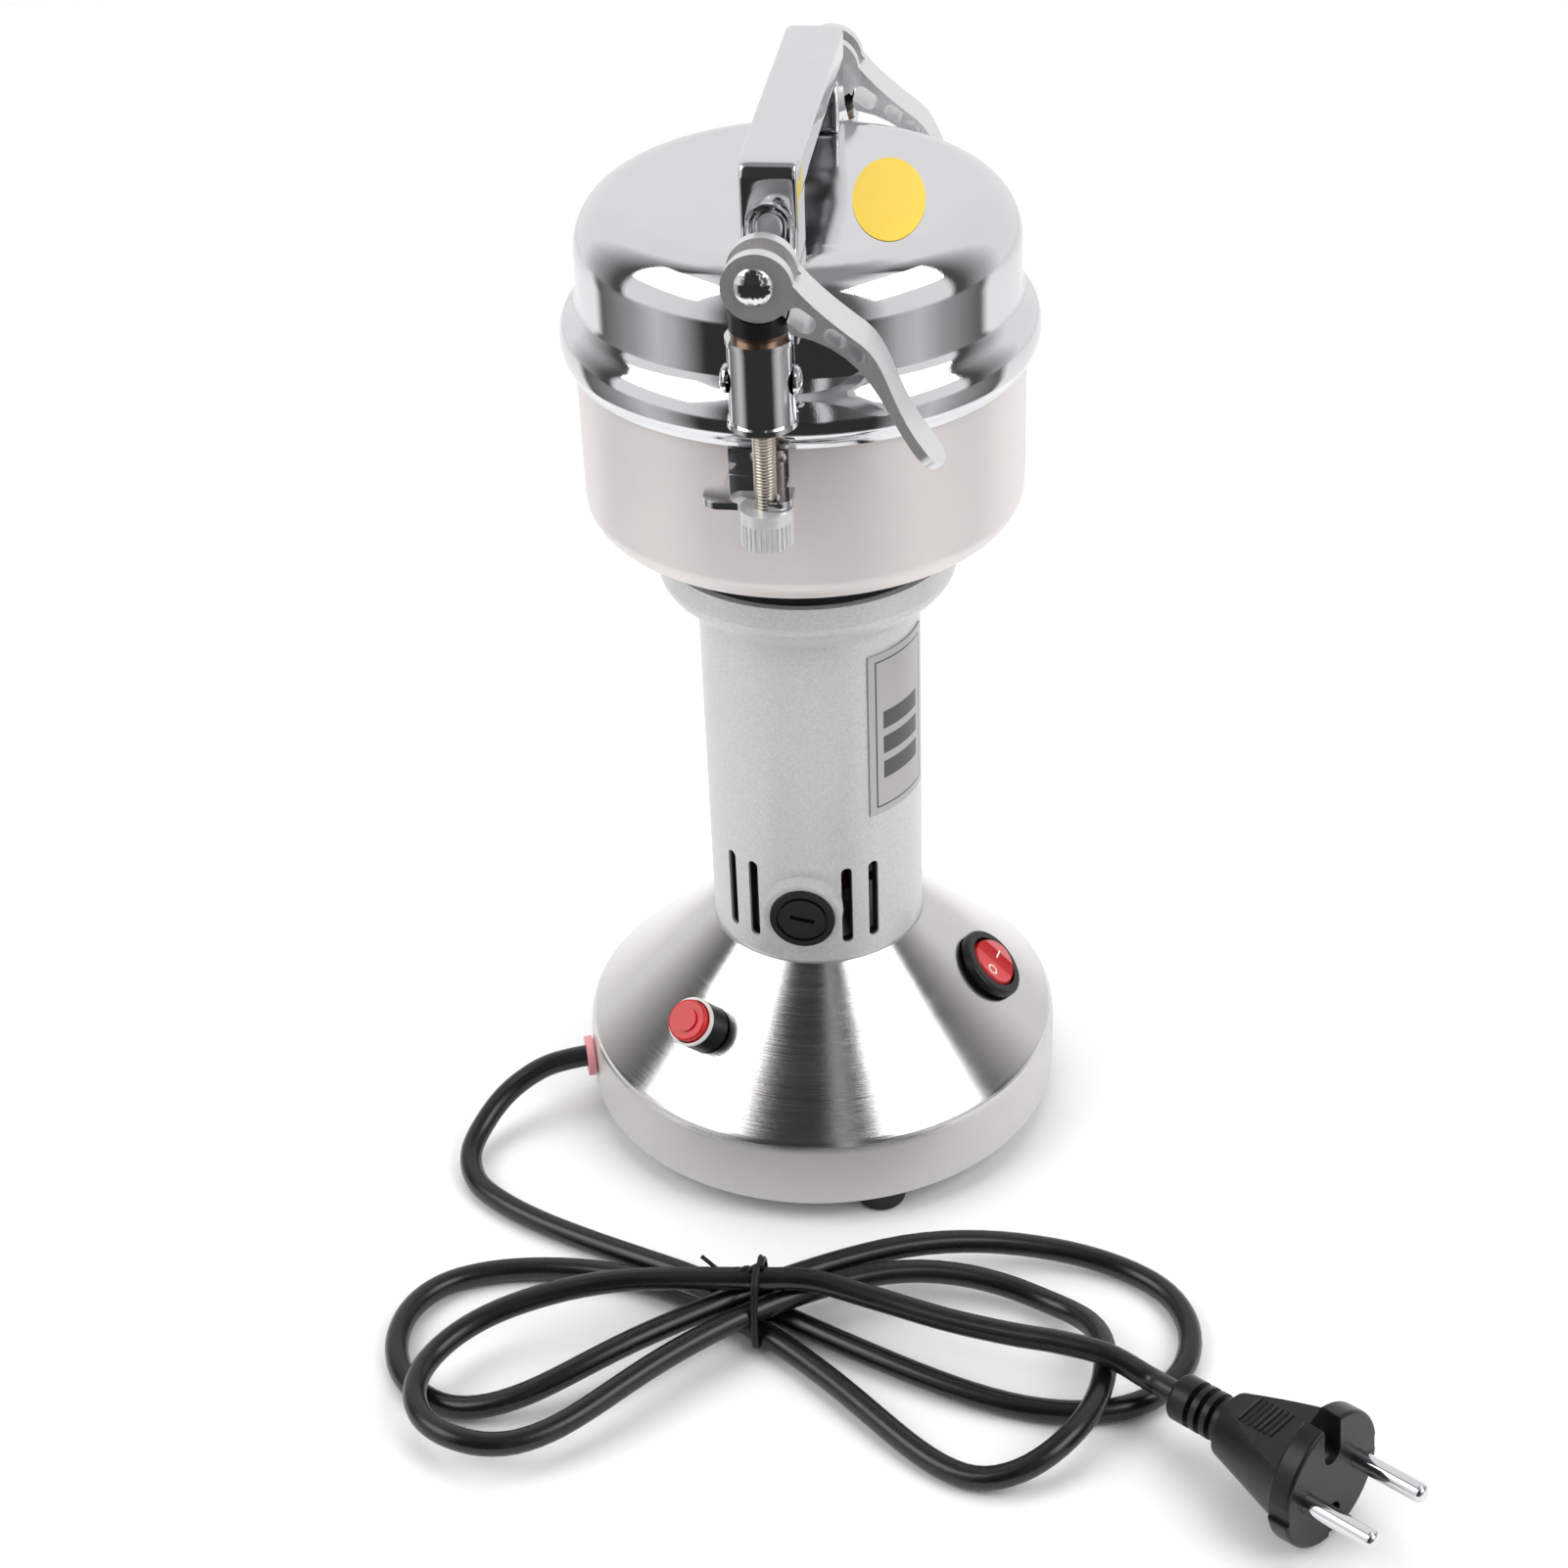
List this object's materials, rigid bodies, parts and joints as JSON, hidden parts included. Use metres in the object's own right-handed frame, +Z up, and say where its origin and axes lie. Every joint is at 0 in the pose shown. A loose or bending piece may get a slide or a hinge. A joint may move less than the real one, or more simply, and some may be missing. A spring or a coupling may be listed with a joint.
{
  "type": "electric coffee and grain mill",
  "caption": "Electric swing mill for coffee, spice and grain: conical steel base, motor column, bowl with a lid held by two cam-lever clamps, carrying handle and mains cord with plug.",
  "frame": {"origin": "on the table under the motor axis", "axes": "+Z up, -Y the front with one clamp and one brush cap, +X the power switch"},
  "size_m": [0.258, 0.2552, 0.2906],
  "materials": {
    "base_steel": "brushed",
    "bowl_steel": "brushed",
    "lid_steel": "polished",
    "column_metal": "satin",
    "handle_metal": "satin",
    "bright_steel": "polished",
    "rod_steel": "threaded",
    "lever_metal": "satin",
    "blade_steel": "ground",
    "hidden_steel": "plain",
    "core_steel": "laminated",
    "copper": "wound",
    "brass": "plain",
    "carbon": "matte",
    "washer_bronze": "plain",
    "black_plastic": "moulded",
    "black_rubber": "matte",
    "cord_jacket": "satin",
    "seal_rubber": "matte",
    "grommet_rubber": "matte",
    "rocker_red": "translucent",
    "button_red": "translucent",
    "ring_white": "moulded"
  },
  "bodies": {
    "housing": {"base_shell": "base_steel", "base_plate": "hidden_steel", "rubber_feet": "black_rubber", "foot_screws": "hidden_steel", "foot_nuts": "hidden_steel", "column_lock_ring": "hidden_steel", "motor_column": "column_metal", "lower_bearing_bracket": "hidden_steel", "lower_bearing": "hidden_steel", "upper_bearing": "hidden_steel", "stator_core": "core_steel", "field_coils": "copper", "brush_holders": "brass", "carbon_brushes": "carbon", "brush_caps": "black_plastic", "bowl_gasket": "black_rubber", "bowl_seat": "column_metal", "bowl": "bowl_steel", "bowl_screws": "hidden_steel", "shaft_bush": "black_plastic", "front_bracket": "bright_steel", "rear_bracket": "bright_steel", "rating_plate": "column_metal", "switch_housing": "black_plastic", "reset_collar": "black_plastic", "reset_ring": "ring_white", "reset_nut": "hidden_steel", "cord_grommet": "grommet_rubber", "cord_lead": "cord_jacket", "cord_hank": "cord_jacket", "cord_tail": "cord_jacket", "cord_tie": "cord_jacket", "plug_relief": "black_plastic", "plug_body": "black_plastic", "plug_pins": "bright_steel"},
    "rotor": {"motor_shaft": "blade_steel", "armature_core": "core_steel", "armature_windings": "copper", "commutator": "copper", "cooling_fan": "black_plastic", "blade_spacers": "blade_steel", "lower_blade": "blade_steel", "upper_blade": "blade_steel", "blade_nut": "blade_steel"},
    "power_rocker": {"rocker": "rocker_red"},
    "reset_key": {"reset_button": "button_red"},
    "lid": {"lid_shell": "lid_steel", "lid_seal": "seal_rubber", "handle": "handle_metal", "handle_screws": "hidden_steel", "clamp_sleeves": "bright_steel", "sleeve_screws": "bright_steel", "thrust_washers": "washer_bronze", "cam_cups": "black_plastic"},
    "front_clamp_rod": {"front_rod": "rod_steel"},
    "rear_clamp_rod": {"rear_rod": "rod_steel"},
    "front_clamp_lever": {"front_lever": "lever_metal"},
    "rear_clamp_lever": {"rear_lever": "lever_metal"},
    "front_clamp_nut": {"front_nut": "lever_metal"},
    "rear_clamp_nut": {"rear_nut": "lever_metal"}
  },
  "joints": [
    {"name": "motor_spin", "type": "hinge", "parent": "housing", "child": "rotor", "pos_m": [0, 0, 0.2], "axis": [0, 0, 1], "continuous": true},
    {"name": "rocker_tip", "type": "hinge", "parent": "housing", "child": "power_rocker", "pos_m": [0.04682, -0.0041, 0.04283], "axis": [0.7169, -0.0627, -0.6944], "range_deg": [-14, 0]},
    {"name": "reset_press", "type": "slide", "parent": "housing", "child": "reset_key", "axis": [0.3883, 0.5757, -0.7196], "range_m": [0, 0.002], "stiffness_N_per_m": 400, "springref_m": -0.002},
    {"name": "lid_turn", "type": "hinge", "parent": "housing", "child": "lid", "pos_m": [0, 0, 0.25], "axis": [0, 0, 1], "range_deg": [-4.5, 0]},
    {"name": "front_rod_slide", "type": "slide", "parent": "lid", "child": "front_clamp_rod", "axis": [0, 0, 1], "range_m": [-0.00127, 0]},
    {"name": "front_lever_swing", "type": "hinge", "parent": "front_clamp_rod", "child": "front_clamp_lever", "pos_m": [0, -0.0665, 0.27356], "axis": [0, -1, 0], "range_deg": [0, 110]},
    {"name": "front_nut_turn", "type": "hinge", "parent": "front_clamp_rod", "child": "front_clamp_nut", "pos_m": [0, -0.0665, 0.213], "axis": [0, 0, 1], "continuous": true},
    {"name": "rear_rod_slide", "type": "slide", "parent": "lid", "child": "rear_clamp_rod", "axis": [0, 0, 1], "range_m": [-0.00127, 0]},
    {"name": "rear_lever_swing", "type": "hinge", "parent": "rear_clamp_rod", "child": "rear_clamp_lever", "pos_m": [0, 0.0665, 0.27356], "axis": [0, -1, 0], "range_deg": [0, 110]},
    {"name": "rear_nut_turn", "type": "hinge", "parent": "rear_clamp_rod", "child": "rear_clamp_nut", "pos_m": [0, 0.0665, 0.213], "axis": [0, 0, 1], "continuous": true}
  ],
  "couplings": [
    {"joint": "front_lever_swing", "follows": "front_rod_slide", "rad_per_m": -1516.5},
    {"joint": "rear_lever_swing", "follows": "rear_rod_slide", "rad_per_m": -1516.5}
  ]
}
